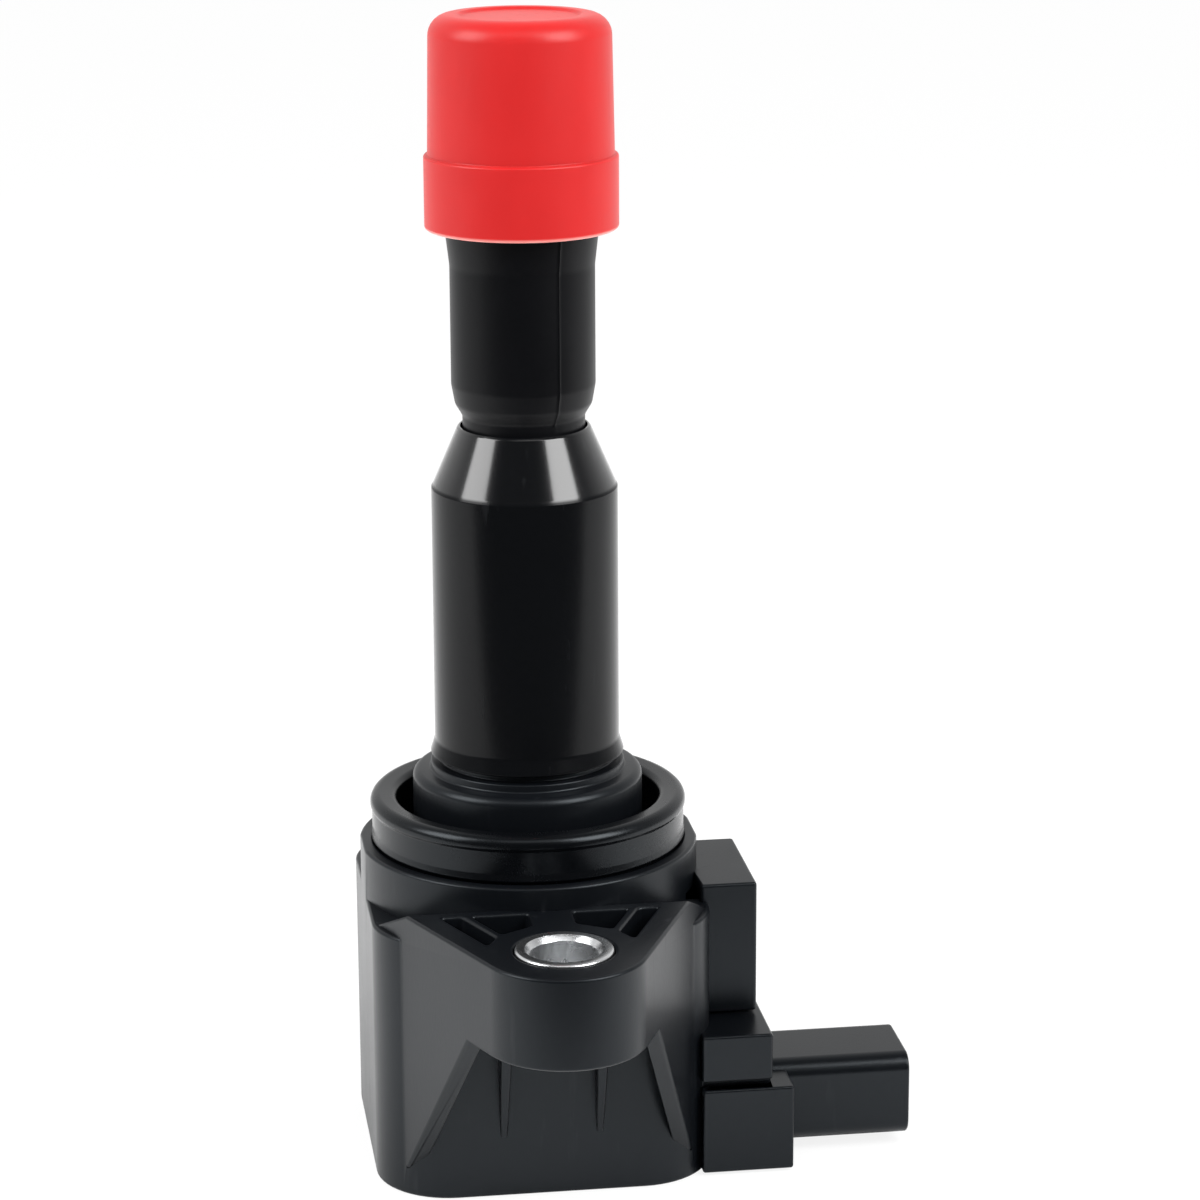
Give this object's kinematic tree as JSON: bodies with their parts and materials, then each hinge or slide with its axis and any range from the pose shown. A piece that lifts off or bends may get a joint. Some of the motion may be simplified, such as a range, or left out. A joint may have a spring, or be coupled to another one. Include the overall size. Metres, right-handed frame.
{
  "type": "ignition coil",
  "caption": "Plug-top ignition coil: square potted head with a bolt-down ear and side connector, sealed collar, long tube, rubber plug boot and a pull-off end cap.",
  "frame": {"origin": "on the tube's axis, in the plane of the head's flat potted end, on which the part stands", "axes": "+Z along the tube towards the spark plug end, +X towards the electrical connector's mouth, -Y towards the mounting ear"},
  "size_m": [0.0682, 0.0664, 0.1439],
  "materials": {
    "case_plastic": "glass-filled black thermoplastic, satin",
    "tube_plastic": "black thermoplastic, semi-gloss",
    "seal_rubber": "moulded black rubber with a slight sheen",
    "boot_rubber": "moulded black silicone rubber, satin",
    "cap_plastic": "soft red plastic, satin",
    "zinc_steel": "bright zinc plate",
    "tin_plate": "tinned copper",
    "potting_resin": "cast epoxy, flat and slightly glossy",
    "lamination_steel": "stacked silicon steel sheets",
    "ferrite": "sintered magnet",
    "bobbin_plastic": "natural moulded thermoplastic",
    "enamelled_copper": "wound enamelled wire",
    "igniter_housing": "moulded black epoxy",
    "ceramic": "fired ceramic body",
    "plated_brass": "nickel-plated brass",
    "spring_steel": "drawn wire"
  },
  "bodies": {
    "coil": {"coil_case": "case_plastic", "connector_body": "case_plastic", "terminal_pin_1": "tin_plate", "terminal_pin_2": "tin_plate", "terminal_pin_3": "tin_plate", "case_seal": "seal_rubber", "mounting_bushing": "zinc_steel", "potting_fill": "potting_resin", "center_core": "lamination_steel", "outer_core": "lamination_steel", "bias_magnet": "ferrite", "primary_bobbin": "bobbin_plastic", "primary_winding": "enamelled_copper", "secondary_bobbin": "bobbin_plastic", "secondary_winding": "enamelled_copper", "igniter_module": "igniter_housing", "high_voltage_diode": "ceramic", "high_voltage_terminal": "plated_brass", "suppression_resistor": "ceramic", "contact_spring": "spring_steel", "extension_tube": "tube_plastic", "plug_boot": "boot_rubber"},
    "cap": {"protective_cap": "cap_plastic"},
    "contact": {"contact_cap": "plated_brass"}
  },
  "joints": [
    {"name": "cap_pull", "type": "slide", "parent": "coil", "child": "cap", "axis": [0, 0, 1], "range_m": [0, 0.035]},
    {"name": "contact_travel", "type": "slide", "parent": "coil", "child": "contact", "axis": [0, 0, -1], "range_m": [0, 0.0045], "stiffness_N_per_m": 700, "springref_m": -0.004, "deforming": ["contact_spring"]}
  ]
}
